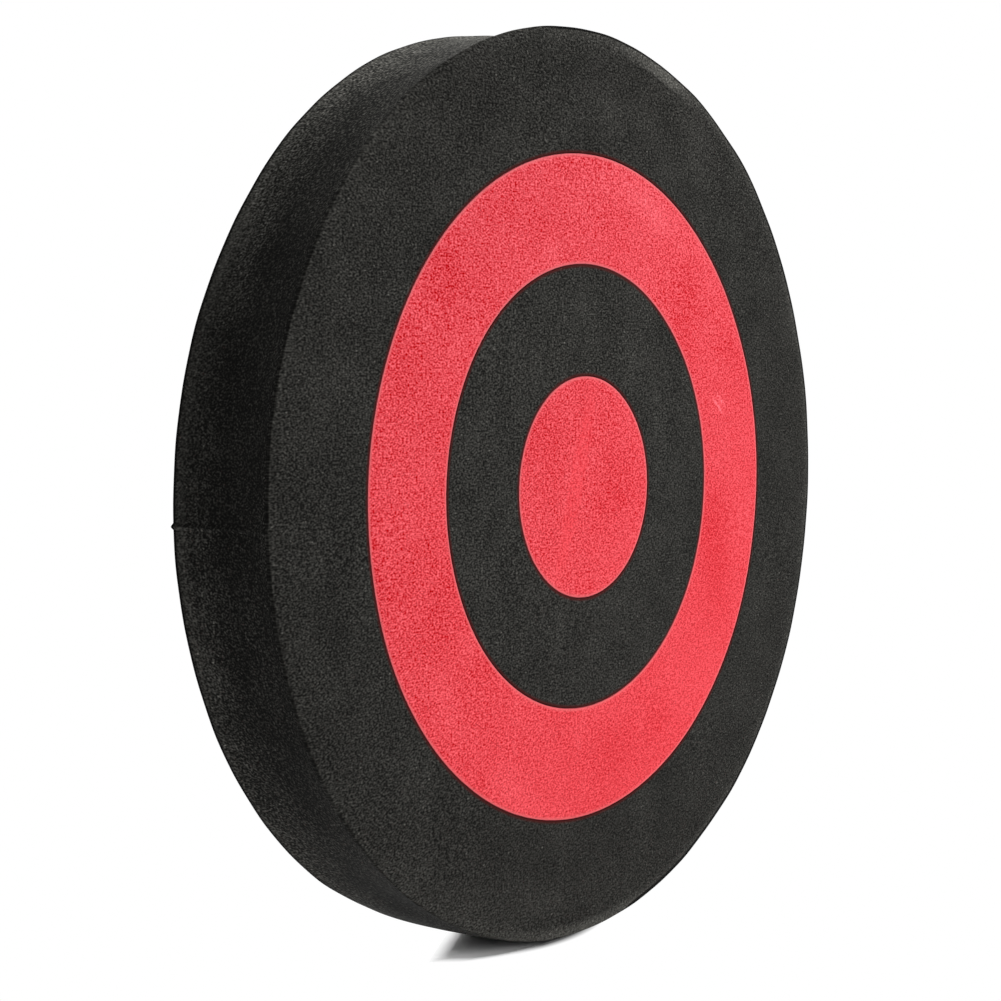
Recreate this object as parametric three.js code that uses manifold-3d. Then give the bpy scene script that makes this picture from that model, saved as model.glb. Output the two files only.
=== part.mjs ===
// Round archery target boss of closed-cell foam. Four pieces, die-cut right through the thickness from
// sheets of two colours, are nested and cemented: a plain centre disc and three rings round it.
// Millimetres. The boss stands on its rim: +Z is up, its face looks along -Y, and the origin is at the
// middle of the foot, half-way through the thickness.
import * as THREE from "three";
import { mergeVertices, mergeGeometries } from "three/addons/utils/BufferGeometryUtils.js";
import Module from "manifold-3d";

// The four pieces, from the middle outwards. Together they make a boss 400 across
const centreDiameter = 97.5;
const innerRingWidth = 48.5;
const redRingWidth = 48.5;
const outerRingWidth = 54.25;
const bossThickness = 52; // over the flat of the faces
const cementGap = 0.3; // film of contact cement in each round seam

// Edges of the seams, on both faces
const seamEdge = 0.4; // how far the soft cut edge reaches on the face and down the wall

// The rim. The foam is squeezed while it is cut, so it springs back dished, with drawn-down face edges
const rimDish = 2.4; // depth of the hollow at the middle of the thickness
const frontRollWidth = 9;
const frontRollDrop = 1;
const backRollWidth = 6;
const backRollDrop = 0.4;
const rimEdge = 0.9; // reach of the soft edge between a face and the rim

// The witness ridge across the rim, where the two ends of the steel cutting rule meet
const ridgeWidth = 3.2;
const ridgeHeightFront = 0.5;
const ridgeHeightBack = 1;
const ridgeDegrees = 267.8; // clockwise from the top, seen from the face

// The foot, pressed flat by the weight of the boss
const footDepth = 0.5;

// Steps in the curves
const roundSteps = 120;
const ridgeSteps = 6;
const dishSteps = 6;
const rollSteps = 3;
const edgeSteps = 3; // in the soft edges of the rim
const seamSteps = 2; // in the soft edges of the seams

const cutOverrun = 2; // the cutter runs past what it cuts
const mergeDistance = 0.001;

const innerRingDiameter = centreDiameter + 2 * innerRingWidth;
const redRingDiameter = innerRingDiameter + 2 * redRingWidth;
const bossRadius = redRingDiameter / 2 + outerRingWidth;
const frontFace = -bossThickness / 2;
const backFace = bossThickness / 2;

const wasm = await Module();
wasm.setup();

// Profiles lie in a half plane through the axis: x is the radius, y runs from the front face to the back.
// They go round with the foam on their left, so that a turned surface faces outwards.
const at = (radius, y) => new THREE.Vector2(radius, y);

// A soft edge: it leaves the first point towards the corner and ends at the last point
function softEdge(from, corner, to, steps) {
  return new THREE.QuadraticBezierCurve(from, corner, to).getPoints(steps);
}

// The edges of a seam at a radius, on the front and on the back. Side is 1 where the wall is the outside
// of a piece and -1 where it is the inside of a ring
function seamWall(radius, side) {
  const front = softEdge(
    at(radius - side * seamEdge, frontFace),
    at(radius, frontFace),
    at(radius, frontFace + seamEdge),
    seamSteps
  );
  const back = front.map((point) => at(point.x, -point.y));
  return side > 0 ? [...front, ...back.reverse()] : [...back, ...front.reverse()];
}

// A face edge that is drawn down towards the rim and turns softly into it. It runs from the flat of the
// face to the widest ring of the rim. Side is -1 at the front face and 1 at the back
function drawnEdge(side, rollWidth, rollDrop) {
  const face = (side * bossThickness) / 2;
  const edge = face - side * rollDrop;
  const rollStart = at(bossRadius - rollWidth, face);
  const rollEnd = at(bossRadius - rimEdge, edge);
  const rollMiddle = at((rollStart.x + rollEnd.x) / 2, face);
  const widest = at(bossRadius, edge - side * rimEdge);
  return [
    ...new THREE.QuadraticBezierCurve(rollStart, rollMiddle, rollEnd).getPoints(rollSteps),
    ...softEdge(rollEnd, at(bossRadius, edge), widest, edgeSteps).slice(1),
  ];
}

// The rim: front edge, dished wall and back edge
function rimWall() {
  const front = drawnEdge(-1, frontRollWidth, frontRollDrop);
  const back = drawnEdge(1, backRollWidth, backRollDrop).reverse();
  const frontWidest = front.at(-1);
  const backWidest = back[0];
  // A parabola whose middle lies one dish inside its ends has its control point two dishes inside
  const control = at(bossRadius - 2 * rimDish, (frontWidest.y + backWidest.y) / 2);
  const dish = new THREE.QuadraticBezierCurve(frontWidest, control, backWidest).getPoints(dishSteps);
  return [...front, ...dish.slice(1, -1), ...back];
}

// A closed profile turned right round the axis, as one closed surface
function turned(profile) {
  return new THREE.LatheGeometry([...profile, profile[0]], roundSteps);
}

// The centre disc is turned from a profile that starts and ends on the axis
function centreGeometry() {
  const profile = [at(0, frontFace), ...seamWall(centreDiameter / 2, 1), at(0, backFace)];
  return new THREE.LatheGeometry(profile, roundSteps);
}

// A ring nested in a hole and round a smaller piece, with the cement's film inside and flush faces
function nestedRingGeometry(outerDiameter, innerDiameter) {
  return turned([...seamWall(outerDiameter / 2, 1), ...seamWall(innerDiameter / 2 + cementGap, -1)]);
}

// How far the witness ridge lifts a point of the profile, outwards, at its crest. It rises over the
// drawn-down edges and changes evenly from the front edge to the back one
function ridgeLift(radius, y) {
  const rollWidth = y < 0 ? frontRollWidth : backRollWidth;
  const nearRim = THREE.MathUtils.smoothstep(radius, bossRadius - rollWidth, bossRadius - rimDish);
  return nearRim * THREE.MathUtils.mapLinear(y, frontFace, backFace, ridgeHeightFront, ridgeHeightBack);
}

// The outer ring is turned in two stretches: a fine one that carries the ridge, and all the rest
function outerRingGeometry() {
  const outline = [...rimWall(), ...seamWall(redRingDiameter / 2 + cementGap, -1)];
  const profile = [...outline, outline[0]];
  const ridgeTurn = ridgeWidth / bossRadius;
  const ridgeStart = THREE.MathUtils.degToRad(ridgeDegrees) - ridgeTurn / 2;
  const plain = new THREE.LatheGeometry(profile, roundSteps, ridgeStart + ridgeTurn, 2 * Math.PI - ridgeTurn);
  const ridged = new THREE.LatheGeometry(profile, ridgeSteps, ridgeStart, ridgeTurn);

  const place = ridged.attributes.position;
  for (let i = 0; i < place.count; i++) {
    const x = place.getX(i);
    const y = place.getY(i);
    const z = place.getZ(i);
    const radius = Math.hypot(x, z);
    const step = Math.floor(i / profile.length);
    const crest = (1 - Math.cos((2 * Math.PI * step) / ridgeSteps)) / 2;
    const grown = 1 + (crest * ridgeLift(radius, y)) / radius;
    place.setXYZ(i, x * grown, y, z * grown);
  }
  return mergeGeometries([plain, ridged]);
}

// The foot: everything below the pressed flat is cut away
function footCutter() {
  const height = footDepth + cutOverrun;
  const thickness = bossThickness + 2 * cutOverrun;
  const cutter = new THREE.BoxGeometry(bossRadius, thickness, height);
  return cutter.translate(0, 0, footDepth - bossRadius - height / 2);
}

// Between three.js geometry and solids that can be cut
function solidOf(geometry) {
  const bare = geometry.clone();
  bare.deleteAttribute("normal");
  bare.deleteAttribute("uv");
  const merged = mergeVertices(bare, mergeDistance);
  const vertProperties = merged.attributes.position.array;
  const triVerts = merged.index.array;
  return new wasm.Manifold(new wasm.Mesh({ numProp: 3, vertProperties, triVerts }));
}

function geometryOf(solid) {
  const mesh = solid.getMesh();
  const geometry = new THREE.BufferGeometry();
  geometry.setAttribute("position", new THREE.BufferAttribute(mesh.vertProperties, 3));
  geometry.setIndex(new THREE.BufferAttribute(mesh.triVerts, 1));
  geometry.computeVertexNormals();
  return geometry;
}

const blackFoam = new THREE.MeshStandardMaterial({ color: 0x30312e, roughness: 0.93, metalness: 0 });
const redFoam = new THREE.MeshStandardMaterial({ color: 0xe0404c, roughness: 0.9, metalness: 0 });

function piece(name, geometry, material) {
  const mesh = new THREE.Mesh(geometry, material);
  mesh.name = name;
  return mesh;
}

const footed = solidOf(outerRingGeometry()).subtract(solidOf(footCutter()));

const disc = new THREE.Group();
disc.position.z = bossRadius - footDepth;
disc.add(piece("outer_black_ring", geometryOf(footed), blackFoam));
disc.add(piece("red_ring", nestedRingGeometry(redRingDiameter, innerRingDiameter), redFoam));
disc.add(piece("inner_black_ring", nestedRingGeometry(innerRingDiameter, centreDiameter), blackFoam));
disc.add(piece("red_centre", centreGeometry(), redFoam));

const boss = new THREE.Group();
boss.add(disc);

export default boss;
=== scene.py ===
# Archery target boss of closed-cell foam: four pieces, die-cut right through, nested and cemented.
# Metres, +Z up, the face looks along -Y. Angles round the disc start at +X and go up over the top.
import math
import bpy
import numpy as np
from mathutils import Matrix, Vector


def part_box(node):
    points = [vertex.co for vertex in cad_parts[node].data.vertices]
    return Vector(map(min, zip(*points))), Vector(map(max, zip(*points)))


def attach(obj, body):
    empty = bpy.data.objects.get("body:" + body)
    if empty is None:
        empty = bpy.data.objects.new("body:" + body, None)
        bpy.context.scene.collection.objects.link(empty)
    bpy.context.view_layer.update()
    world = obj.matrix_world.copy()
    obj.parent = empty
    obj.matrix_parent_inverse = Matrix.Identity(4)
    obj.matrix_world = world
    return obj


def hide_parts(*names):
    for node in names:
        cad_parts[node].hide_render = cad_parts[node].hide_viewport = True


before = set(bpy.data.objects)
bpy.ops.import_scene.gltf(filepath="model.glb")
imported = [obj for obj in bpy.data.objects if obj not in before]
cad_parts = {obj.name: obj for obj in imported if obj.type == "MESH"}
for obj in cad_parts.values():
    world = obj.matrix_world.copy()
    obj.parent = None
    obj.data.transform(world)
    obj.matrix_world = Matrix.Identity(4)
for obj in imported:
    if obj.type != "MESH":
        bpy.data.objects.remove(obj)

print("the frame is loaded")
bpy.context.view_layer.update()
mm = 0.001


# The disc as the frame has it: its middle, its front, its thickness, its foot and the radius of each die cut
def readDisc():
    ringLow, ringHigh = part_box("outer_black_ring")
    plugLow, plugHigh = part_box("red_centre")
    middle = (plugLow.z + plugHigh.z) / 2

    def radiusOf(node):
        low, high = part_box(node)
        return (high.x - low.x) / 2

    return {
        "middle": middle,
        "front": plugLow.y,
        "thickness": plugHigh.y - plugLow.y,
        "foot": ringLow.z - middle,
        "centre": radiusOf("red_centre"),
        "inner": radiusOf("inner_black_ring"),
        "outer": radiusOf("red_ring"),
        "rim": ringHigh.z - middle,
    }


disc = readDisc()

# How far each cut wanders off a true circle: times round the disc, amount in mm, a crest's place in degrees
cutWander = {
    "centre": [(1, 0.1, 265), (2, 0.26, 96)],
    "inner": [(0, 0.12, 0), (1, 0.15, 304), (2, 0.44, 95), (3, 0.11, 94)],
    "outer": [(0, 0.3, 0), (1, 0.85, 283), (2, 0.46, 87), (3, 0.2, 89)],
    "rim": [(2, 0.25, 73), (3, 0.42, 72), (4, 0.36, 43), (17, 0.07, 40), (29, 0.05, 110), (53, 0.04, 200)],
}


# Radius of a cut at each angle: the true radius and a sum of cosine waves round the disc
def cutRadius(cut, angles):
    radius = np.full(angles.shape, disc[cut])
    for order, amount, crest in cutWander[cut]:
        radius += amount * mm * np.cos(order * (angles - math.radians(crest)))
    return radius


# The sheet's faces aren't quite flat: waves in mm as amount, direction in degrees, length in mm, phase
faceWaves = [(0.10, 20, 190, 0.3), (0.08, 100, 130, 1.1), (0.05, 65, 74, 2.2), (0.04, 150, 51, 0.7)]


# Height of the face over its plane: a sum of straight sine waves that run across the disc
def faceHeight(x, z):
    height = np.zeros(x.shape)
    for amount, direction, length, phase in faceWaves:
        along = x * math.cos(math.radians(direction)) + z * math.sin(math.radians(direction))
        height += amount * mm * np.sin(2 * math.pi * along / (length * mm) + phase)
    return height


# 0 before the start, 1 after the end, with an even S curve between
def smooth(value, start, end):
    t = np.clip((value - start) / (end - start), 0, 1)
    return t * t * (3 - 2 * t)


# The same between two places given in mm
def smoothMm(value, start, end):
    return smooth(value, start * mm, end * mm)


# Points of a quadratic Bezier curve: (1 - t)^2 start + 2 t (1 - t) corner + t^2 end, for t from 0 to 1
def bend(start, corner, end, steps):
    t = np.linspace(0, 1, steps + 1)[:, None]
    start, corner, end = (np.asarray(p, float) for p in (start, corner, end))
    return (1 - t) ** 2 * start + 2 * t * (1 - t) * corner + t ** 2 * end


# Evenly spaced points between two points, without the ends
def between(start, end, steps):
    t = np.linspace(0, 1, steps + 1)[1:-1, None]
    return (1 - t) * np.asarray(start, float) + t * np.asarray(end, float)


# The edges of the seams between the pieces
seam = {
    "edge": 0.45,  # reach of the soft cut edge on the face and down the wall, mm
    "tint": 1.7,  # how far the tint of the cut reaches on the face, mm
    "gap": 0.1,  # film of cement between two walls, mm
    "edgeSteps": 4,
    "wallSteps": 4,
}


# A profile point is share, offset, depth and near. Its radius is inner cut * (1 - share) + outer cut * share
# + offset. Its depth is metres from the front face towards the back. Near is 1 at the soft edge of a cut and
# 2 down in its groove
def seamFront(share, side, gap):
    edge, tint = seam["edge"] * mm, seam["tint"] * mm
    wall = -side * gap
    fade = np.array([(share, wall - side * tint, 0, 0)])
    onFace = (share, wall - side * edge, 0, 1)
    inGroove = (share, wall, edge, 2)
    return np.vstack([fade, bend(onFace, (share, wall, 0, 1.5), inGroove, seam["edgeSteps"])])


# The front's profile turned over for the back: the thickness less each depth, in the other order
def mirrored(points):
    back = points.copy()
    back[:, 2] = disc["thickness"] - back[:, 2]
    return back[::-1]


# The cut edge of a piece at a seam, from its front face to its back face. Side is 1 where the wall is the
# outside of a piece and -1 where it is the inside of a ring
def seamWall(share, side, gap):
    front = seamFront(share, side, gap)
    back = mirrored(front)
    return np.vstack([front, between(front[-1], back[0], seam["wallSteps"]), back])


# Radii of a profile that is carried round the axis, by the formula above: rows follow the profile and
# columns the angles
def gridRadius(profile, angles, innerCut, outerCut):
    share, offset = profile[:, 0][:, None], profile[:, 1][:, None]
    inner = cutRadius(innerCut, angles) if innerCut else 0
    return inner * (1 - share) + cutRadius(outerCut, angles) * share + offset


# Places of a grid: x is radius * cosine of the angle, z is radius * sine, and y is depth + the waves of the
# faces * the cube of the way out from the middle of the thickness
def gridPlaces(radius, depth, angles):
    x = radius * np.cos(angles)
    z = radius * np.sin(angles)
    y = disc["front"] + depth
    outward = np.clip(2 * depth / disc["thickness"] - 1, -1, 1)
    return x, y + faceHeight(x, z) * outward ** 3, z


# Lighter and darker patches of the front face: middle across and up from the middle of the disc, half width
# and half height in mm, turn in degrees, and the 8-bit levels that they add
patches = [
    (53, 123, 35, 12, -26, 15),
    (14, 135, 16, 8, -8, 12),
    (-36, 151, 16, 10, 0, -6),
    (-98, 94, 24, 22, 45, -5),
    (-27, 101, 9, 9, 0, 9),
    (79, 80, 20, 24, 0, -9),
    (106, -34, 22, 44, 6, -14),
    (118, 60, 22, 12, -30, -9),
    (21, -121, 17, 20, 0, -9),
    (-106, -57, 18, 24, 0, -5),
    (-120, 60, 14, 18, 0, -6),
    (-81, -60, 6, 6, 0, 10),
    (-91, 64, 8, 8, 0, 5),
    (-4, -110, 3.5, 16, -8, 6),
    (-50, -130, 34, 9, -24, 10),
    (-99, -84, 14, 36, 40, 9),
    (56, -112, 14, 12, 0, -7),
    (-51, -98, 3.5, 18, -8, 6),
    (20, 0, 27, 27, 0, -8),
    (-20, 8, 10, 20, 0, -5),
    (-30, 30, 14, 30, 0, -6),
    (-48, -52, 14, 14, 0, -7),
    (-112, -38, 8, 14, 0, 8),
    (-156, -5, 12, 34, 0, -5),
    (154, 0, 8, 34, 0, -4),
    (-172, 47, 20, 18, 0, 5),
    (-72, -7, 7, 10, 20, 7),
    (-178, 7, 16, 26, 0, -6),
    (-167, -48, 14, 26, 0, -6),
    (-88, 163, 38, 18, 0, -5),
    (-147, -80, 8, 8, 0, 5),
    (-142, -121, 14, 16, 0, 4),
    (-95, -168, 70, 14, -28, 9),
    (-187, -32, 7, 28, 0, 3),
    (176, 76, 10, 16, 0, 6),
    (-34, -180, 48, 14, -6, 7),
    (25, 165, 36, 12, 0, 5),
    (75, 172, 22, 12, -30, 6),
    (92, 148, 14, 24, 0, 4),
    (44, -147, 20, 10, 0, 3),
]
patchDepth = 3  # mm from the front plane that the patches reach down


# Levels that the patches add at each point of a piece: each is a bell, exp(-2 * squared distance from its
# middle in half sizes)
def patchLevels(x, y, z):
    levels = np.zeros(x.shape)
    for across, up, halfWidth, halfHeight, turn, amount in patches:
        c, s = math.cos(math.radians(turn)), math.sin(math.radians(turn))
        dx, dz = x / mm - across, z / mm - up
        u, v = (dx * c + dz * s) / halfWidth, (dz * c - dx * s) / halfHeight
        levels += amount * np.exp(-2 * (u * u + v * v))
    return levels * (y < disc["front"] + patchDepth * mm)


# A mesh from a grid that is closed round the axis, with a value for each layer at each point. The profile
# closes on itself too, or else a pole closes each of its ends
def meshFromGrid(name, places, closedProfile, layers):
    x, y, z = places
    rows, columns = x.shape
    layers = {**layers, "mark": patchLevels(x, y, z)}
    spread = {key: v if v.ndim == 2 else np.repeat(v[:, None], columns, 1) for key, v in layers.items()}
    points = np.stack([x, y, z + disc["middle"]], 2)
    index = np.arange(rows * columns).reshape(rows, columns)
    nextColumn = np.roll(index, -1, 1)
    if closedProfile:
        nextRow, nextBoth = np.roll(index, -1, 0), np.roll(nextColumn, -1, 0)
        faces = np.stack([index, nextRow, nextBoth, nextColumn], 2).reshape(-1, 4).tolist()
        vertices = points.reshape(-1, 3)
        values = {key: v.ravel() for key, v in spread.items()}
    else:
        quads = np.stack([index[:-1], index[1:], nextColumn[1:], nextColumn[:-1]], 2).reshape(-1, 4)
        first, last = rows * columns, rows * columns + 1
        startFan = np.stack([np.full(columns, first), index[0], nextColumn[0]], 1)
        endFan = np.stack([np.full(columns, last), nextColumn[-1], index[-1]], 1)
        faces = quads.tolist() + startFan.tolist() + endFan.tolist()
        poles = np.array([points[0].mean(0), points[-1].mean(0)])
        vertices = np.vstack([points.reshape(-1, 3), poles])
        values = {key: np.append(v.ravel(), [v[0].mean(), v[-1].mean()]) for key, v in spread.items()}
    mesh = bpy.data.meshes.new(name)
    mesh.from_pydata(vertices.tolist(), [], faces)
    for key, value in values.items():
        mesh.attributes.new(key, "FLOAT", "POINT").data.foreach_set("value", value.astype(np.float32))
    mesh.polygons.foreach_set("use_smooth", np.ones(len(mesh.polygons), bool))
    mesh.update()
    piece = bpy.data.objects.new(name, mesh)
    bpy.context.scene.collection.objects.link(piece)
    return piece


# What every foam piece needs: its material, its body and the node that it stands for
def dress(piece, node, material):
    piece.data.materials.append(material)
    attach(piece, "root")
    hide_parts(node)
    print(f"{piece.name}: {len(piece.data.polygons)} faces")


# The plain pieces inside the outer ring
nested = {
    "turns": 480,
    "faceStep": 2.2,  # mm between rows on the face
    "poleShare": 0.03,  # where the row round a pole lies, as a share of the centre disc's radius
}


# Rows across a face, evenly spaced at about the face step
def faceRows(start, end, width):
    return between(start, end, max(2, round(width / (nested["faceStep"] * mm))))


# Even steps round the disc
def nestedAngles():
    return np.linspace(0, 2 * math.pi, nested["turns"], endpoint=False)


# A ring between two cuts: outer wall, back face, inner wall and front face
def nestedRing(name, innerCut, outerCut):
    width = disc[outerCut] - disc[innerCut]
    outside = seamWall(1, 1, 0)
    inside = seamWall(0, -1, seam["gap"] * mm)[::-1]
    backFace = faceRows(outside[-1], inside[0], width)
    frontFace = faceRows(inside[-1], outside[0], width)
    profile = np.vstack([outside, backFace, inside, frontFace])
    angles = nestedAngles()
    places = gridPlaces(gridRadius(profile, angles, innerCut, outerCut), profile[:, 2][:, None], angles)
    return meshFromGrid(name, places, True, {"cutEdge": profile[:, 3]})


# The centre disc: the profile starts and ends close to the axis, and a pole closes each face
def centrePlug(name):
    outside = seamWall(1, 1, 0)
    radius = disc["centre"]
    start = np.array([nested["poleShare"], 0, 0, 0])
    end = np.array([nested["poleShare"], 0, disc["thickness"], 0])
    frontFace = faceRows(start, outside[0], radius)
    backFace = faceRows(outside[-1], end, radius)
    profile = np.vstack([start[None], frontFace, outside, backFace, end[None]])
    angles = nestedAngles()
    places = gridPlaces(gridRadius(profile, angles, None, "centre"), profile[:, 2][:, None], angles)
    return meshFromGrid(name, places, False, {"cutEdge": profile[:, 3]})


# The outer ring with its die-cut rim. Places round the disc are in degrees, and depths in mm from the front
rim = {
    "turns": 690,
    "dish": 2.4,  # hollow of the wall at the middle of the thickness, mm
    "hollowPowers": (2, 3.2),  # how late the hollow turns out to the front and to the back; 2 is a parabola
    "frontRoll": (9.0, 1.0),  # width and drop of the drawn-down front edge, mm
    "backRoll": (6.0, 0.4),
    "edge": 0.9,  # reach of the soft edge between a face and the wall, mm
    "edgeShade": (0.4, 1.4),  # how strongly that edge is marked for its painted shade, at its two ends and at the corner that its curve bends to
    "edgeShadeOnWall": 0.9,  # share of the way from the middle of the wall to its edge where that painted shade begins
    "faceRows": 20,
    "rollRows": 12,
    "edgeRows": 8,
    "dishRows": 26,
    "footAt": 270,
    "squashed": (36, 26, 10, 5),  # degrees from the foot: the wall is squashed out from 26 to 10, and fades
    "bulge": 0.35,  # how far the squashed wall stands out, as a share of the hollow
    "ridgeAt": 182.2,
    "ridgeWidth": 3.2,
    "ridgeHeights": (0.5, 1.3),  # at the front edge and at the back one, mm
    "ridgeTurns": 24,
    # Places where the edges stand in or out: middle and reach in degrees, and mm
    "frontBumps": [(50, 11, 0.6), (20, 9, -0.5), (262, 11, 0.5), (288, 8, -0.25)],
    "backBumps": [(86, 12, 2.0), (115, 7, 0.4), (146, 16, -0.75), (242, 9, -0.4)],
    "bumpDepths": (10, 46),  # where the bumps of the front edge give way to those of the back one
    "raisedReach": 5,  # mm in from the rim where the ridge and the bumps have faded out
    # Places where the front edge has been crushed: middle and reach in degrees, width and drop in mm, share
    # of the width that the drop takes to build up, and how much lighter the foam is there, a painted
    # highlight where the crushed edge tilts towards the light
    "crushedWithHighlight": [
        (55, 9, 4.0, 0.5, 0.5, 0.35),
        (73, 13, 7.5, 0.5, 0.2, 1.05),
        (270, 21, 7.0, 0.3, 0.7, 1.2),
        (300, 12, 6.0, 0.5, 0.9, 0.25),
        (137, 9, 2.5, 0.12, 0.8, 0.45),
        (134, 1.1, 2.6, 0.4, 0.6, 1.2),
    ],
    "crushDepths": (2, 7),  # where a crushed place fades out
    "wallDepths": (1.2, 3),  # mm from either face where the finish of the wall comes up
    "wallMargin": 0.001,  # mm past the hollow that still count as the wall
    # The dark line of the front edge, a painted shade where the edge turns away: the middle of the side that
    # has it, and the cosines from there between which it comes up. The same for where it is widest, then its
    # share elsewhere and what the widest place adds
    "outline": (9, -0.06, 0.06),
    "outlineWide": (-20, 0.1, 0.7),
    "outlineShares": (0.78, 0.32),
    "backLine": (-0.9, -0.3),  # mm from the widest ring where the back edge's dark line, a painted shade, comes up
    "backLight": 2.6,  # painted light: how much lighter the wall is at its back edge
    "lowLight": 1.0,  # painted light, the same beside the foot
    "topLight": 0.7,  # painted light: how much lighter it is over the top, at all depths
    "edgeLight": 0.9,  # a painted highlight: the same in a narrow band along the back edge
    "lowSide": (80, 55),  # degrees from the foot where the light beside it takes over
    "topSide": (140, 165),  # the same for the light over the top
    "backRise": (22, 50),  # where the light towards the back edge comes up, and the power that it rises by
    "backPower": 1.5,
    "edgeRise": (45.5, 48),  # where the narrow band comes up
    "edgeFade": (0.3, 0.7),  # cosines of the angle where the narrow band fades on the right
    "edgeLoss": 0.7,  # share of it that is lost there
    # Painted light and shade on the wall, lighter and darker places: middle and reach in degrees, the depths
    # between which they come up, and how much lighter they are
    "wallLightAndShade": [
        (99, 12, 4, 26, 0.9),
        (130, 14, 30, 42, -0.6),
        (152, 13, 22, 40, 1.0),
        (191, 9, 28, 40, -0.25),
        (210, 18, 36, 18, -0.38),
        (238, 20, 50, 30, -0.16),
    ],
    # How much of the drawn-down front edge's painted light shows, at places round the disc
    "rollShown": [(0, 1.0), (58, 0.8), (73, 1.5), (85, 0.9), (115, 0.25), (150, 0.2), (180, 0.35),
                  (210, 0.4), (240, 0.7), (270, 1.2), (300, 1.0), (360, 1.0)],
    "rollFull": 1.5,  # mm in from the rim where that light is full
    "skinOffsets": (-9, -5),  # mm from the rim where the grain is pulled to the face's plane
    "skinDepths": (2, 6),  # where it is let go
}


# A face edge that is drawn down and turns softly into the rim, for the front: a Bezier curve over the roll's
# width and drop, and a tighter one round the edge to the widest ring
def drawnEdge(roll):
    width, drop = roll[0] * mm, roll[1] * mm
    edge = rim["edge"] * mm
    ends, middle = rim["edgeShade"]
    top = bend((1, -width, 0, 0), (1, -(width + edge) / 2, 0, 0), (1, -edge, drop, ends), rim["rollRows"])
    turn = bend((1, -edge, drop, ends), (1, 0, drop, middle), (1, 0, drop + edge, ends), rim["edgeRows"])
    return np.vstack([top, turn[1:]])


# Profile of the outer ring, and 1 at its points on the wall. The wall is hollow between the two widest rings
# by dish * (1 - distance from its middle ** power), with a power of its own for each half
def rimProfile():
    front = drawnEdge(rim["frontRoll"])
    back = mirrored(drawnEdge(rim["backRoll"]))
    t = np.linspace(-1, 1, rim["dishRows"] + 1)[1:-1]
    hollow = 1 - np.abs(t) ** np.where(t < 0, *rim["hollowPowers"])
    wallMiddle = (front[-1, 2] + back[0, 2]) / 2
    wallHalf = (back[0, 2] - front[-1, 2]) / 2
    # the wall's painted shade near its edges
    edgeShade = rim["edgeShade"][0] * smooth(np.abs(t), rim["edgeShadeOnWall"], 1)
    wall = np.stack([np.ones_like(t), -rim["dish"] * mm * hollow, wallMiddle + wallHalf * t, edgeShade], 1)
    inside = seamWall(0, -1, seam["gap"] * mm)[::-1]
    frontFace = between(inside[-1], front[0], rim["faceRows"])
    backFace = between(back[-1], inside[0], rim["faceRows"])
    profile = np.vstack([front, wall, back, backFace, inside, frontFace])
    onWall = np.zeros(len(profile))
    onWall[len(front):len(front) + len(wall)] = 1
    return profile, onWall


# Fine steps across the witness ridge, even ones over the rest
def rimAngles():
    half = rim["ridgeWidth"] * mm / disc["rim"] / 2
    middle = math.radians(rim["ridgeAt"])
    fine = np.linspace(middle - half, middle + half, rim["ridgeTurns"], endpoint=False)
    rest = np.linspace(middle + half, middle - half + 2 * math.pi, rim["turns"], endpoint=False)
    return np.concatenate([fine, rest])


# Degrees between each angle and a place round the disc
def degreesFrom(angles, place):
    return np.abs((np.degrees(angles) - place + 180) % 360 - 180)


# 1 at a place round the rim, fading to 0 at its reach, by a raised cosine of the angle
def nearAngle(angles, middle, reach):
    away = degreesFrom(angles, middle)
    return np.where(away < reach, 0.5 + 0.5 * np.cos(math.pi * away / reach), 0)


# How far the wall is squashed out beside the foot: its hollow * (1 + bulge), between the fades
def squashedOut(profile, onWall, angles):
    away = degreesFrom(angles, rim["footAt"])
    outer, full, inner, none = rim["squashed"]
    squash = smooth(-away, -outer, -full) * smooth(away, none, inner)
    hollow = -onWall * np.minimum(profile[:, 1], 0)
    return hollow[:, None] * squash * (1 + rim["bulge"])


# How far the ridge and the bumps lift the rim. The ridge is a raised cosine across its width, and rises
# evenly from the front edge to the back one. A bump is a raised cosine along its edge
def raisedBy(depth, angles):
    half = math.degrees(rim["ridgeWidth"] * mm / disc["rim"] / 2)
    low, high = rim["ridgeHeights"]
    height = low + (high - low) * depth / disc["thickness"]
    lift = nearAngle(angles, rim["ridgeAt"], half) * height * mm
    onBack = smoothMm(depth, *rim["bumpDepths"])
    for edge, onEdge in (("frontBumps", 1 - onBack), ("backBumps", onBack)):
        for middle, reach, out in rim[edge]:
            lift = lift + nearAngle(angles, middle, reach) * onEdge * out * mm
    return lift


# How far crushed places of the front edge drop, and their painted highlight: how much lighter they are. A
# place is a raised cosine along the rim and an S curve across it
def crushedBy(outward, depth, angles):
    drops, light = np.zeros(outward.shape), np.zeros(outward.shape)
    onFront = 1 - smoothMm(depth, *rim["crushDepths"])
    for middle, reach, width, drop, build, lighter in rim["crushedWithHighlight"]:
        push = nearAngle(angles, middle, reach) * smoothMm(outward, -width, -width * (1 - build)) * onFront
        drops = drops + push * drop * mm
        light = np.maximum(light, push * lighter)
    return drops, light


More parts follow.
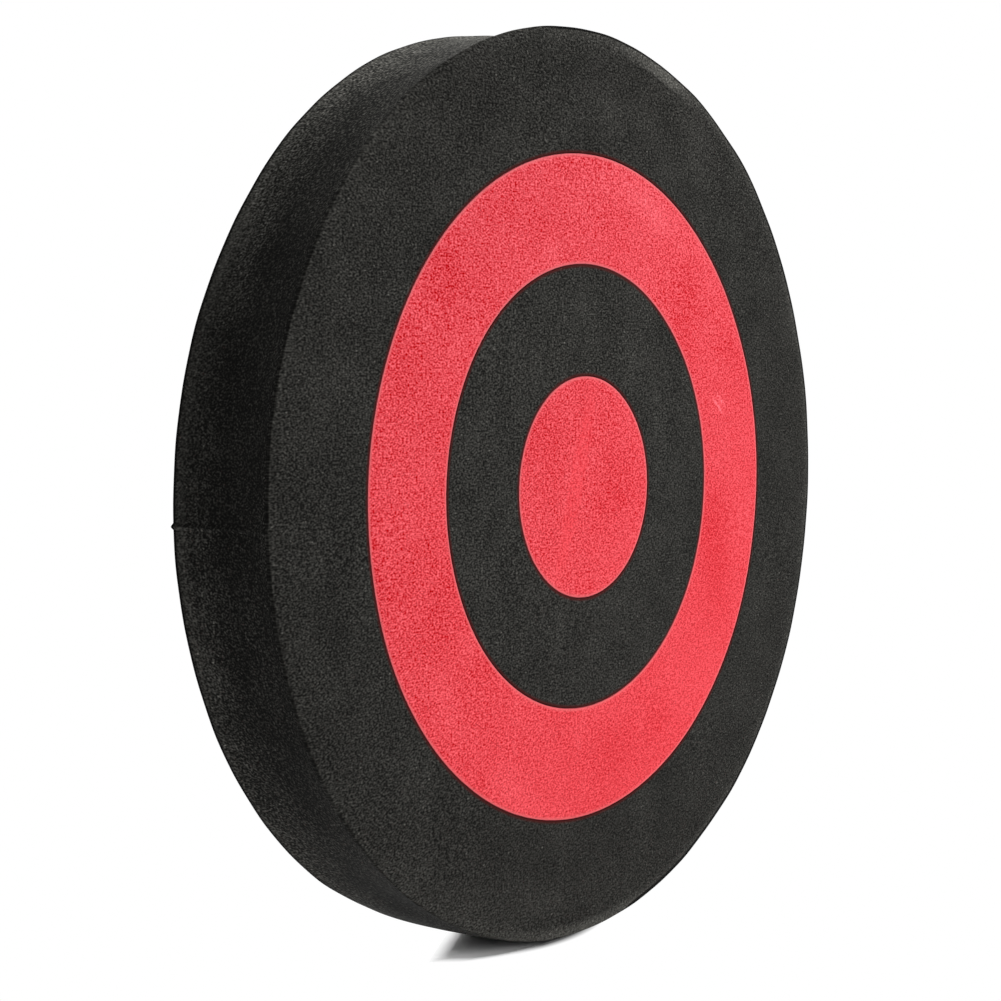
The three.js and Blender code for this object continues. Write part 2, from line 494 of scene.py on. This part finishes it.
# How much painted light the wall gets: lighter towards its back edge and beside the foot, over the top, a
# painted highlight in a narrow band along the back edge, and painted light and shade in its lighter and
# darker places, all added up
def wallPaintedLight(depth, angles):
    away = degreesFrom(angles, rim["footAt"])
    farLow, nearLow = rim["lowSide"]
    low = smooth(-away, -farLow, -nearLow)
    top = smooth(away, *rim["topSide"])
    towardsBack = smoothMm(depth, *rim["backRise"]) ** rim["backPower"]
    backLight = rim["backLight"] * (1 - low) * (1 - top) + rim["lowLight"] * low
    kept = 1 - rim["edgeLoss"] * smooth(np.cos(angles), *rim["edgeFade"])
    band = smoothMm(depth, *rim["edgeRise"]) * kept * rim["edgeLight"]
    light = towardsBack * backLight + rim["topLight"] * top + band
    for middle, reach, start, end, lighter in rim["wallLightAndShade"]:
        come = (depth / mm - start) / (end - start)
        light = light + lighter * nearAngle(angles, middle, reach) * smooth(come, 0, 1)
    return light


# How much of the front edge's dark line, a painted shade, shows: an S curve of the cosine from its middle,
# and more of it round its widest place
def outlined(angles):
    middle, start, full = rim["outline"]
    shown = smooth(np.cos(angles - math.radians(middle)), start, full)
    middle, start, full = rim["outlineWide"]
    least, added = rim["outlineShares"]
    return shown * (least + added * smooth(np.cos(angles - math.radians(middle)), start, full))


# The values that the rim's material reads at each point: the seam's edge, the painted shade of the dark
# edges, the wall, its crushed and lighter places with their painted light, and the skin and the painted
# light of the drawn-down edge
def rimLayers(profile, angles, crushHighlight):
    share, offset, depth, near = (profile[:, k][:, None] for k in range(4))
    start, full = rim["wallDepths"]
    fromBack = disc["thickness"] - depth
    within = smoothMm(depth, start, full) * smoothMm(fromBack, start, full)
    onRim = share == 1
    wall = within * (onRim & (offset > -(rim["dish"] + rim["wallMargin"]) * mm))
    bySeam = share < 0.5
    line = np.where(depth > disc["thickness"] / 2, smoothMm(offset, *rim["backLine"]), outlined(angles))
    rollShown = np.interp(np.degrees(angles) % 360, *zip(*rim["rollShown"]))
    rolledPaintedLight = smoothMm(offset, -rim["frontRoll"][0], -rim["rollFull"]) * onRim
    skin = smoothMm(offset, *rim["skinOffsets"]) * onRim * (1 - smoothMm(depth, *rim["skinDepths"]))
    return {
        "cutEdge": np.where(bySeam, near, 0)[:, 0],
        "rimEdgeShade": np.where(bySeam, 0, near) * line,
        "rimWall": wall[:, 0],
        "crushedWithHighlight": crushHighlight,
        "wallPaintedLight": wallPaintedLight(depth, angles) * wall,
        "drawn": skin[:, 0],
        "rolledPaintedLight": rolledPaintedLight * (1 - wall) * rollShown,
    }


# The outer ring: its profile carried round, squashed out beside the foot, raised at the ridge and the bumps,
# and dropped where it is crushed
def outerRing(name):
    profile, onWall = rimProfile()
    angles = rimAngles()
    radius = gridRadius(profile, angles, "outer", "rim")
    depth = profile[:, 2][:, None]
    outward = radius - disc["rim"]
    nearRim = smoothMm(outward, -rim["raisedReach"], -rim["dish"])
    drops, crushHighlight = crushedBy(outward, depth, angles)
    radius = radius + squashedOut(profile, onWall, angles) + raisedBy(depth, angles) * nearRim
    x, y, z = gridPlaces(radius, depth + drops, angles)
    z = np.maximum(z, disc["foot"])  # the foot is pressed flat
    return meshFromGrid(name, (x, y, z), True, rimLayers(profile, angles, crushHighlight))


# Nodes of a material. An input is a value, or the output of another node
def put(tree, kind, inputs=None, **settings):
    node = tree.nodes.new(kind)
    for key, value in settings.items():
        setattr(node, key, value)
    for key, value in (inputs or {}).items():
        if isinstance(value, bpy.types.NodeSocket):
            tree.links.new(value, node.inputs[key])
        else:
            node.inputs[key].default_value = value
    return node.outputs


def sums(tree, operation, first, second):
    return put(tree, "ShaderNodeMath", {0: first, 1: second}, operation=operation)[0]


def total(tree, first, *others):
    for other in others:
        first = sums(tree, "ADD", first, other)
    return first


def product(tree, first, *others):
    for other in others:
        first = sums(tree, "MULTIPLY", first, other)
    return first


# A value taken from one range to another, held at its ends
def ranged(tree, value, low, high, toLow, toHigh):
    inputs = {"Value": value, "From Min": low, "From Max": high, "To Min": toLow, "To Max": toHigh}
    return put(tree, "ShaderNodeMapRange", inputs)["Result"]


# The Mix node's two inputs and its output, for each kind of data
mixSockets = {"FLOAT": (2, 3, 0), "VECTOR": (4, 5, 1), "RGBA": (6, 7, 2)}


def mixed(tree, kind, share, first, second, **settings):
    low, high, out = mixSockets[kind]
    return put(tree, "ShaderNodeMix", {0: share, low: first, high: second}, data_type=kind, **settings)[out]


def noise(tree, place, perMetre, detail, roughness=0.5):
    inputs = {"Vector": place, "Scale": perMetre, "Detail": detail, "Roughness": roughness}
    return put(tree, "ShaderNodeTexNoise", inputs)["Fac"]


def attribute(tree, name):
    return put(tree, "ShaderNodeAttribute", attribute_name=name)["Fac"]


def vectorSum(tree, operation, first, second):
    return put(tree, "ShaderNodeVectorMath", {0: first, 1: second}, operation=operation)


def newMaterial(name):
    material = bpy.data.materials.new(name)
    material.use_nodes = True
    material.node_tree.nodes.clear()
    return material, material.node_tree


# sRGB numbers from 0 to 255 as a linear colour
def colour(red, green, blue):
    share = np.array([red, green, blue]) / 255
    linear = np.where(share <= 0.04045, share / 12.92, ((share + 0.055) / 1.055) ** 2.4)
    return (*linear.tolist(), 1)


# What both foams share. The ends are where a pattern's values start and end
foamSurface = {
    "grainSize": (1.2, 1.0, 0.75),  # mm along each axis
    "cellSize": (1.55, 1.3, 1.0),
    "grainEnds": (0.2, 0.8),
    "cellEnds": (0.1, 0.9),
    "cloudEnds": (0.3, 0.7),
    "cloudDetail": (3, 0.6),
    "calmEnds": (-0.02, 0.17),  # metres to the right and down between which the grain grows calmer
    "pitEnds": (0.15, 0.4),  # distance from the middle of a cell
    "pitCells": (0.80, 0.9),  # which cells have one, by a random number from 0 to 1
    "glintEnds": (0.1, 0.45),
    "glintCells": (0.92, 0.98),
    "grooveShadowEnds": (1.0, 1.7),  # nearness to a cut between which a painted shadow darkens its groove
    "roughness": 0.8,
    "specular": 0.06,
    "bumpHeight": 0.3,  # mm
}

blackFoam = {
    "dark": (9, 9, 8),
    "light": (92, 91, 87),
    "middle": 0.45,  # average place between the dark and the light colour
    "lift": 2.0,  # power that the place is raised to
    "grain": 0.33,  # how far the fine grain goes to either side of that
    "cells": 0.24,  # how much the cells add to it, minus where their middles are dark
    "calm": 0.2,  # how much of the grain is lost towards the lower right of the face
    "clouds": 0.07,  # how far soft clouds go to either side
    "cloudSize": 26,  # mm
    "perLevel": 0.011,  # what one 8-bit level is in the tone
    "pits": 0.0,  # painted shade in a few open cells: the share of the colour that they lose
    "glints": 1.3,  # painted glints: the share that a few other cells gain
    "cut": (66, 24, 23),  # colour of a cut edge beside the other foam
    "grooveShadow": 0.6,  # painted shadow: how much of it is left down in the groove of a seam
    "bump": 0.35,
    "insideShade": 1.12,  # how much lighter the inner ring is than the outer one
}

redFoam = {
    "dark": (203, 38, 48),
    "light": (244, 97, 106),
    "middle": 0.48,
    "lift": 1.0,
    "grain": 0.80,
    "cells": -0.55,
    "calm": 0.4,
    "clouds": 0.10,
    "cloudSize": 30,
    "perLevel": 0.019,
    "pits": 0.2,
    "glints": 0.12,
    # lighter than the red itself: a painted highlight on its soft cut edge
    "cut": (230, 108, 113),
    "grooveShadow": 0.35,
    "bump": 0.3,
    "lowTint": (1.08, 0.97, 0.96),  # the colour is redder and brighter low on the disc and paler at its top, in part painted light from below
    "highTint": (0.95, 1.03, 1.04),
    # A worn streak where the red shows more and the grain less: from and to, width, and how much it shows
    "streak": (9, 54, -22.5, -48, 13, 1.0),
    "streakRed": 0.08,
    "streakCalm": 0.5,
    "streakCore": 0.6,
    # Fine scratches of the front face: from and to, across and up from the middle of the disc, width, all in
    # mm, and how much lighter they are
    "scratches": [(101, 41, 116, 28, 2.4, 0.8), (107, 41, 118, 32, 2.2, 0.55), (104, 41, 117, 30, 7, 0.28)],
    "scratchCore": 0.3,
}

# How a scratch breaks up: its reach in depth and the size of the breaks in mm, the detail and ends of their
# noise, and what is left of the scratch in them
scratchBreaks = {
    "depth": 10,
    "size": 1.5,
    "detail": 2,
    "ends": (0.35, 0.6),
    "left": 0.3,
}

# The rim and its edges: their grain and streaks, and their painted light and painted shade
rimGrainAndPaintedLight = {
    "edgeDark": 0.9,  # painted shade: how much of the colour the dark line of an edge loses
    "edgeEnds": (0.27, 0.31),  # marks of the edge between which it does
    "rollLight": 0.5,  # painted light: how much lighter the drawn-down edge of a face is
    "lightCalm": 0.3,  # how much weaker the grain is where painted light makes the rim lighter
    "wallGrain": 0.8,  # how much stronger the grain is on the wall
    "edgeBump": 0.15,  # share of the bumps that is left on the drawn-down edge of a face
    "streaks": 0.3,  # how much lighter and darker the streaks along the wall are
    "streakStretch": (14, 620, 14),  # their scale along each axis, per metre
}


# Object coordinates divided by a size in mm along each axis
def scaled(tree, place, size):
    perMetre = tuple(1 / (each * mm) for each in size)
    return put(tree, "ShaderNodeMapping", {"Vector": place, "Scale": perMetre})[0]


# A tone whose distance from the foam's middle tone is taken times a share
def calmed(tree, tone, foam, share):
    away = sums(tree, "SUBTRACT", tone, foam["middle"])
    return total(tree, product(tree, away, share), foam["middle"])


# Painted glints and painted pit shade, spots in the middles of some cells: how much they show there
def cellSpots(tree, distance, chance, kind, amount):
    inMiddle = ranged(tree, distance, *foamSurface[kind + "Ends"], 1, 0)
    return product(tree, inMiddle, ranged(tree, chance, *foamSurface[kind + "Cells"], 0, amount))


# Place of the bare foam between its dark and its light colour: fine grain, cells and clouds, calmer towards
# the lower right. Then the share that painted glints add to its colour and the painted shade of pits takes,
# and the height of its surface
def foamTone(tree, place, foam):
    surface = foamSurface
    fine = noise(tree, scaled(tree, place, surface["grainSize"]), 1, 0)
    byCell = scaled(tree, place, surface["cellSize"])
    cells = put(tree, "ShaderNodeTexVoronoi", {"Vector": byCell, "Scale": 1})
    distance = cells["Distance"]
    chance = put(tree, "ShaderNodeSeparateColor", {"Color": cells["Color"]})
    clouds = noise(tree, place, 1 / (foam["cloudSize"] * mm), *surface["cloudDetail"])
    low, high = foam["middle"] - foam["grain"], foam["middle"] + foam["grain"]
    grainTone = ranged(tree, fine, *surface["grainEnds"], low, high)
    cellTone = ranged(tree, distance, *surface["cellEnds"], foam["cells"] / 2, -foam["cells"] / 2)
    cloudTone = ranged(tree, clouds, *surface["cloudEnds"], -foam["clouds"], foam["clouds"])
    parts = put(tree, "ShaderNodeSeparateXYZ", {"Vector": place})
    lowerRight = sums(tree, "SUBTRACT", parts["X"], sums(tree, "SUBTRACT", parts["Z"], disc["middle"]))
    calm = ranged(tree, lowerRight, *surface["calmEnds"], 1, 1 - foam["calm"])
    tone = calmed(tree, total(tree, grainTone, cellTone, cloudTone), foam, calm)
    pit = cellSpots(tree, distance, chance[1], "pit", foam["pits"])
    glint = cellSpots(tree, distance, chance[2], "glint", foam["glints"])
    return tone, sums(tree, "SUBTRACT", glint, pit), total(tree, fine, distance)


# How much of a scratch shows at a place: a long thin ellipsoid that fades from its core to its ends and
# sides, broken up by noise
def scratchShown(tree, place, scratch, core):
    fromX, fromZ, toX, toZ, width, lighter = scratch
    half = math.hypot(toX - fromX, toZ - fromZ) / 2
    inputs = {
        "Vector": place,
        "Location": ((fromX + toX) / 2 * mm, disc["front"], disc["middle"] + (fromZ + toZ) / 2 * mm),
        "Rotation": (0, -math.atan2(toZ - fromZ, toX - fromX), 0),
        "Scale": (half * mm, scratchBreaks["depth"] * mm, width / 2 * mm),
    }
    across = put(tree, "ShaderNodeMapping", inputs, vector_type="TEXTURE")[0]
    away = put(tree, "ShaderNodeVectorMath", {0: across}, operation="LENGTH")["Value"]
    breaks = noise(tree, place, 1 / (scratchBreaks["size"] * mm), scratchBreaks["detail"])
    worn = ranged(tree, breaks, *scratchBreaks["ends"], scratchBreaks["left"], 1)
    return product(tree, ranged(tree, away, core, 1, lighter, 0), worn)


# The drawn-down edge is still the skin of the sheet, so it has the grain of the face's plane
def skinPlace(tree, place):
    parts = put(tree, "ShaderNodeSeparateXYZ", {"Vector": place})
    depth = sums(tree, "SUBTRACT", parts["Y"], disc["front"])
    pull = put(tree, "ShaderNodeCombineXYZ", {"Y": product(tree, depth, attribute(tree, "drawn"))})[0]
    return vectorSum(tree, "SUBTRACT", place, pull)[0]


# How strong the grain of the rim is: stronger on the cut wall, and weaker where painted light makes the foam
# lighter
def rimGrain(tree):
    rougher = product(tree, attribute(tree, "rimWall"), rimGrainAndPaintedLight["wallGrain"])
    lighter = total(tree, attribute(tree, "wallPaintedLight"), attribute(tree, "crushedWithHighlight"))
    return sums(tree, "SUBTRACT", total(tree, rougher, 1), product(tree, lighter, rimGrainAndPaintedLight["lightCalm"]))


# The strength of the rim's colour, with its streaks along the wall, the painted light of the drawn-down
# edge, the painted light of the lighter and crushed places, and the painted shade of the dark cut edges
def rimStrength(tree, place, strength):
    stretched = put(tree, "ShaderNodeMapping", {"Vector": place, "Scale": rimGrainAndPaintedLight["streakStretch"]})[0]
    pattern = noise(tree, stretched, 1, *foamSurface["cloudDetail"])
    streak = ranged(tree, pattern, *foamSurface["cloudEnds"], -rimGrainAndPaintedLight["streaks"], rimGrainAndPaintedLight["streaks"])
    streaks = total(tree, product(tree, streak, attribute(tree, "rimWall")), 1)
    light = total(tree, attribute(tree, "crushedWithHighlight"), attribute(tree, "wallPaintedLight"), 1)
    rolledPaintedLight = ranged(tree, attribute(tree, "rolledPaintedLight"), 0, 1, 1, 1 + rimGrainAndPaintedLight["rollLight"])
    dark = ranged(tree, attribute(tree, "rimEdgeShade"), *rimGrainAndPaintedLight["edgeEnds"], 1, 1 - rimGrainAndPaintedLight["edgeDark"])
    return product(tree, strength, streaks, rolledPaintedLight, light, dark)


# Red foam's colour: redder and brighter low on the disc and paler at its top, in part painted light from
# below, and redder in its worn streak
def tinted(tree, place, foam, bare, streak):
    up = put(tree, "ShaderNodeSeparateXYZ", {"Vector": place})["Z"]
    share = ranged(tree, up, disc["middle"] - disc["outer"], disc["middle"] + disc["outer"], 0, 1)
    byHeight = mixed(tree, "VECTOR", share, foam["lowTint"], foam["highTint"])
    redder = ranged(tree, streak, 0, 1, 1, 1 + foam["streakRed"])
    byStreak = put(tree, "ShaderNodeCombineXYZ", {"X": redder, "Y": 1, "Z": 1})[0]
    return vectorSum(tree, "MULTIPLY", vectorSum(tree, "MULTIPLY", bare, byHeight)[0], byStreak)[0]


# Closed-cell foam: a mix of two colours by the tone, and a surface raised by the grain and the cells
def foamMaterial(name, foam, shade=1, withRim=False):
    material, tree = newMaterial(name)
    place = put(tree, "ShaderNodeTexCoord")["Object"]
    tone, glintsAndPitShade, height = foamTone(tree, skinPlace(tree, place) if withRim else place, foam)
    if withRim:
        tone = calmed(tree, tone, foam, rimGrain(tree))
    streak = None
    if "streak" in foam:
        streak = scratchShown(tree, place, foam["streak"], foam["streakCore"])
        tone = calmed(tree, tone, foam, ranged(tree, streak, 0, 1, 1, 1 - foam["streakCalm"]))
    tone = total(tree, tone, product(tree, attribute(tree, "mark"), foam["perLevel"]))
    for scratch in foam.get("scratches", []):
        tone = total(tree, tone, scratchShown(tree, place, scratch, foam["scratchCore"]))
    if foam["lift"] != 1:
        tone = sums(tree, "POWER", sums(tree, "MAXIMUM", tone, 0), foam["lift"])
    dark, light = colour(*foam["dark"]), colour(*foam["light"])
    bare = mixed(tree, "RGBA", tone, dark, light, clamp_factor=False, clamp_result=True)
    bare = mixed(tree, "RGBA", attribute(tree, "cutEdge"), bare, colour(*foam["cut"]))
    if streak is not None:
        bare = tinted(tree, place, foam, bare, streak)
    # painted shadow down in the groove of a seam
    grooveShadow = ranged(tree, attribute(tree, "cutEdge"), *foamSurface["grooveShadowEnds"], 1, foam["grooveShadow"])
    # painted glints and the painted shade of pits change how strong the colour is
    strength = product(tree, total(tree, shade, glintsAndPitShade), grooveShadow)
    raised = foam["bump"]
    if withRim:
        strength = rimStrength(tree, place, strength)
        raised = ranged(tree, attribute(tree, "drawn"), 0, 1, raised, raised * rimGrainAndPaintedLight["edgeBump"])
    bump = {"Strength": raised, "Distance": foamSurface["bumpHeight"] * mm, "Height": height}
    shader = put(tree, "ShaderNodeBsdfPrincipled", {
        "Base Color": put(tree, "ShaderNodeVectorMath", {0: bare, "Scale": strength}, operation="SCALE")[0],
        "Roughness": foamSurface["roughness"],
        "Specular IOR Level": foamSurface["specular"],
        "Normal": put(tree, "ShaderNodeBump", bump)[0],
    })[0]
    put(tree, "ShaderNodeOutputMaterial", {"Surface": shader})
    return material


blackRimMaterial = foamMaterial("blackFoamRim", blackFoam, withRim=True)
blackMaterial = foamMaterial("blackFoamPlain", blackFoam, shade=blackFoam["insideShade"])
redMaterial = foamMaterial("redFoam", redFoam)
print("the materials are made")

dress(outerRing("outerRing"), "outer_black_ring", blackRimMaterial)
dress(nestedRing("redRing", "inner", "outer"), "red_ring", redMaterial)
dress(nestedRing("innerRing", "centre", "inner"), "inner_black_ring", blackMaterial)
dress(centrePlug("centrePlug"), "red_centre", redMaterial)

# The studio: a pale floor with a painted shadow under the disc's edge, white surroundings and soft lamps
studio = {
    "floorSize": 12.0,
    "floorShown": 2.3,  # the floor's colour for the camera, past 1 so that only the contact shadow shows
    "floorColour": 0.40,  # the floor's colour for the light that it sends back
    "bounceReach": (0.35, 0.70),  # metres from the disc where the floor sends less light back
    "bounceFar": 0.25,
    "glossColour": 0.22,  # the floor's colour in the gloss of the foam, darker than its own: painted shade for the shaded floor by the foot
    # The shadow that shows ends at a straight line on the left, at another towards the camera and at a
    # parabola in front. A line has the direction across it, and the metres between which the white comes up
    "shadowLeft": ((-0.491, 0.871, 0), 0.0307, 0.0379),
    "shadowNear": ((-0.767, -0.642, 0), 0.0565, 0.0635),
    "shadowFront": (-0.017, -0.0272, 0.177),  # middle and depth of the parabola, and how wide it is
    "shadowFade": (-0.002, 0.0027),
    # A painted shadow: the floor is darker to the right, under the edge: direction, the metres along it
    # between which it turns lighter, and its shares there
    "shadowDark": ((-0.642, 0.767, 0), 0, 0.036, 0.08, 1.12),
    "ambient": 0.04,
}

# Each lamp: place, what it looks at, size in metres, power in watts
lamps = {
    "overhead": ((0.75, 0.3, 1.4), (0, 0, 0.2), 1.0, 20.0),
    "overBack": ((0, 1.0, 1.4), (0, 0, 0.2), 1.0, 7.0),
    "overFront": ((0.6, -1.0, 1.35), (0, 0, 0.2), 1.0, 17.0),
    "frontLow": ((0.3, -1.7, 0.5), (0, 0, 0.2), 0.8, 11.0),
    "frontRightLow": ((1.3, -1.2, 0.3), (0, 0, 0.2), 0.5, 7.0),
    "backRightLow": ((1.1, 1.3, 0.35), (0, 0, 0.2), 0.6, 40.0),
}


# 1 for the rays that show the background: the camera's, and those of gloss and glass
def shownRay(tree):
    path = put(tree, "ShaderNodeLightPath")
    seen = sums(tree, "MAXIMUM", path["Is Camera Ray"], path["Is Glossy Ray"])
    return sums(tree, "MAXIMUM", seen, path["Is Transmission Ray"])


# How far a place lies along a direction
def along(tree, place, direction):
    return vectorSum(tree, "DOT_PRODUCT", place, direction)["Value"]


# The floor's colour: one for the camera, with its painted shadow under the edge, one for gloss and one for
# the light that it sends back
def floorTint(tree, place):
    path = put(tree, "ShaderNodeLightPath")
    away = put(tree, "ShaderNodeVectorMath", {0: place}, operation="LENGTH")["Value"]
    bounce = ranged(tree, away, *studio["bounceReach"], studio["floorColour"], studio["bounceFar"])
    unseen = mixed(tree, "FLOAT", path["Is Glossy Ray"], bounce, studio["glossColour"])
    # painted shadow on the floor, darker under the edge
    direction, near, far, darkest, full = studio["shadowDark"]
    shade = ranged(tree, along(tree, place, direction), near, far, darkest, full)
    return mixed(tree, "FLOAT", path["Is Camera Ray"], unseen, product(tree, shade, studio["floorShown"]))


# 0 in the shadow that shows, and 1 past its ends, where the floor is plain white
def pastShadow(tree, place):
    direction, start, end = studio["shadowLeft"]
    left = ranged(tree, along(tree, place, direction), start, end, 0, 1)
    direction, start, end = studio["shadowNear"]
    close = ranged(tree, along(tree, place, direction), start, end, 0, 1)
    middle, depth, width = studio["shadowFront"]
    parts = put(tree, "ShaderNodeSeparateXYZ", {"Vector": place})
    sideways = sums(tree, "SUBTRACT", parts["X"], middle)
    curve = sums(tree, "DIVIDE", product(tree, sideways, sideways), width)
    past = sums(tree, "SUBTRACT", total(tree, curve, depth), parts["Y"])
    front = ranged(tree, past, *studio["shadowFade"], 0, 1)
    return sums(tree, "MAXIMUM", sums(tree, "MAXIMUM", left, front), close)


# The floor shows its shadow from above, and nothing from below
def makeFloor():
    half = studio["floorSize"] / 2
    mesh = bpy.data.meshes.new("floor")
    corners = [(-half, -half, 0), (half, -half, 0), (half, half, 0), (-half, half, 0)]
    mesh.from_pydata(corners, [], [(0, 1, 2, 3)])
    floor = bpy.data.objects.new("floor", mesh)
    bpy.context.scene.collection.objects.link(floor)
    material, tree = newMaterial("paleFloor")
    place = put(tree, "ShaderNodeTexCoord")["Object"]
    matt = put(tree, "ShaderNodeBsdfDiffuse", {"Color": floorTint(tree, place)})[0]
    white = put(tree, "ShaderNodeEmission", {"Color": (1, 1, 1, 1), "Strength": 1})[0]
    plain = product(tree, shownRay(tree), pastShadow(tree, place))
    shown = put(tree, "ShaderNodeMixShader", {0: plain, 1: matt, 2: white})[0]
    under = put(tree, "ShaderNodeNewGeometry")["Backfacing"]
    clear = put(tree, "ShaderNodeBsdfTransparent")[0]
    oneSided = put(tree, "ShaderNodeMixShader", {0: under, 1: shown, 2: clear})[0]
    put(tree, "ShaderNodeOutputMaterial", {"Surface": oneSided})
    mesh.materials.append(material)


def makeSurroundings():
    world = bpy.data.worlds.new("surroundings")
    bpy.context.scene.world = world
    world.use_nodes = True
    tree = world.node_tree
    tree.nodes.clear()
    ambient = put(tree, "ShaderNodeBackground", {"Color": (1, 1, 1, 1), "Strength": studio["ambient"]})[0]
    white = put(tree, "ShaderNodeBackground", {"Color": (1, 1, 1, 1), "Strength": 1})[0]
    shown = put(tree, "ShaderNodeMixShader", {0: shownRay(tree), 1: ambient, 2: white})[0]
    put(tree, "ShaderNodeOutputWorld", {"Surface": shown})


# Places a lamp and turns it to what it looks at
def aimed(thing, place, target):
    right, forward, up = np.array(target, float) - np.array(place, float)
    thing.location = place
    pitch = math.atan2(up, math.hypot(right, forward))
    thing.rotation_euler = (math.pi / 2 + pitch, 0, -math.atan2(right, forward))


def makeLamps():
    for name, (place, target, size, power) in lamps.items():
        lamp = bpy.data.lights.new(name, "AREA")
        lamp.shape = "DISK"
        lamp.size = size
        lamp.energy = power
        thing = bpy.data.objects.new(name, lamp)
        thing.visible_glossy = False  # the white surroundings are what the foam's gloss shows
        bpy.context.scene.collection.objects.link(thing)
        aimed(thing, place, target)


# The camera of the photograph, as fitted to the edges of the rings
view = {
    "place": (-0.7669, -0.5743, 0.2559),
    "yaw": 52.15,  # degrees from +Y towards +X
    "pitch": 3.79,  # degrees down
    "focal": 2135.8,  # pixels
    "width": 1001,
    "sensor": 36.0,
    "clip": (0.01, 100),
}


def makeCamera():
    camera = bpy.data.cameras.new("camera")
    camera.sensor_width = view["sensor"]
    camera.lens = view["sensor"] * view["focal"] / view["width"]
    camera.clip_start, camera.clip_end = view["clip"]
    thing = bpy.data.objects.new("camera", camera)
    bpy.context.scene.collection.objects.link(thing)
    thing.location = view["place"]
    thing.rotation_euler = (math.radians(90 - view["pitch"]), 0, -math.radians(view["yaw"]))
    bpy.context.scene.camera = thing


makeFloor()
makeSurroundings()
makeLamps()
makeCamera()
bpy.context.scene.view_settings.view_transform = "Standard"
print("the studio is set")
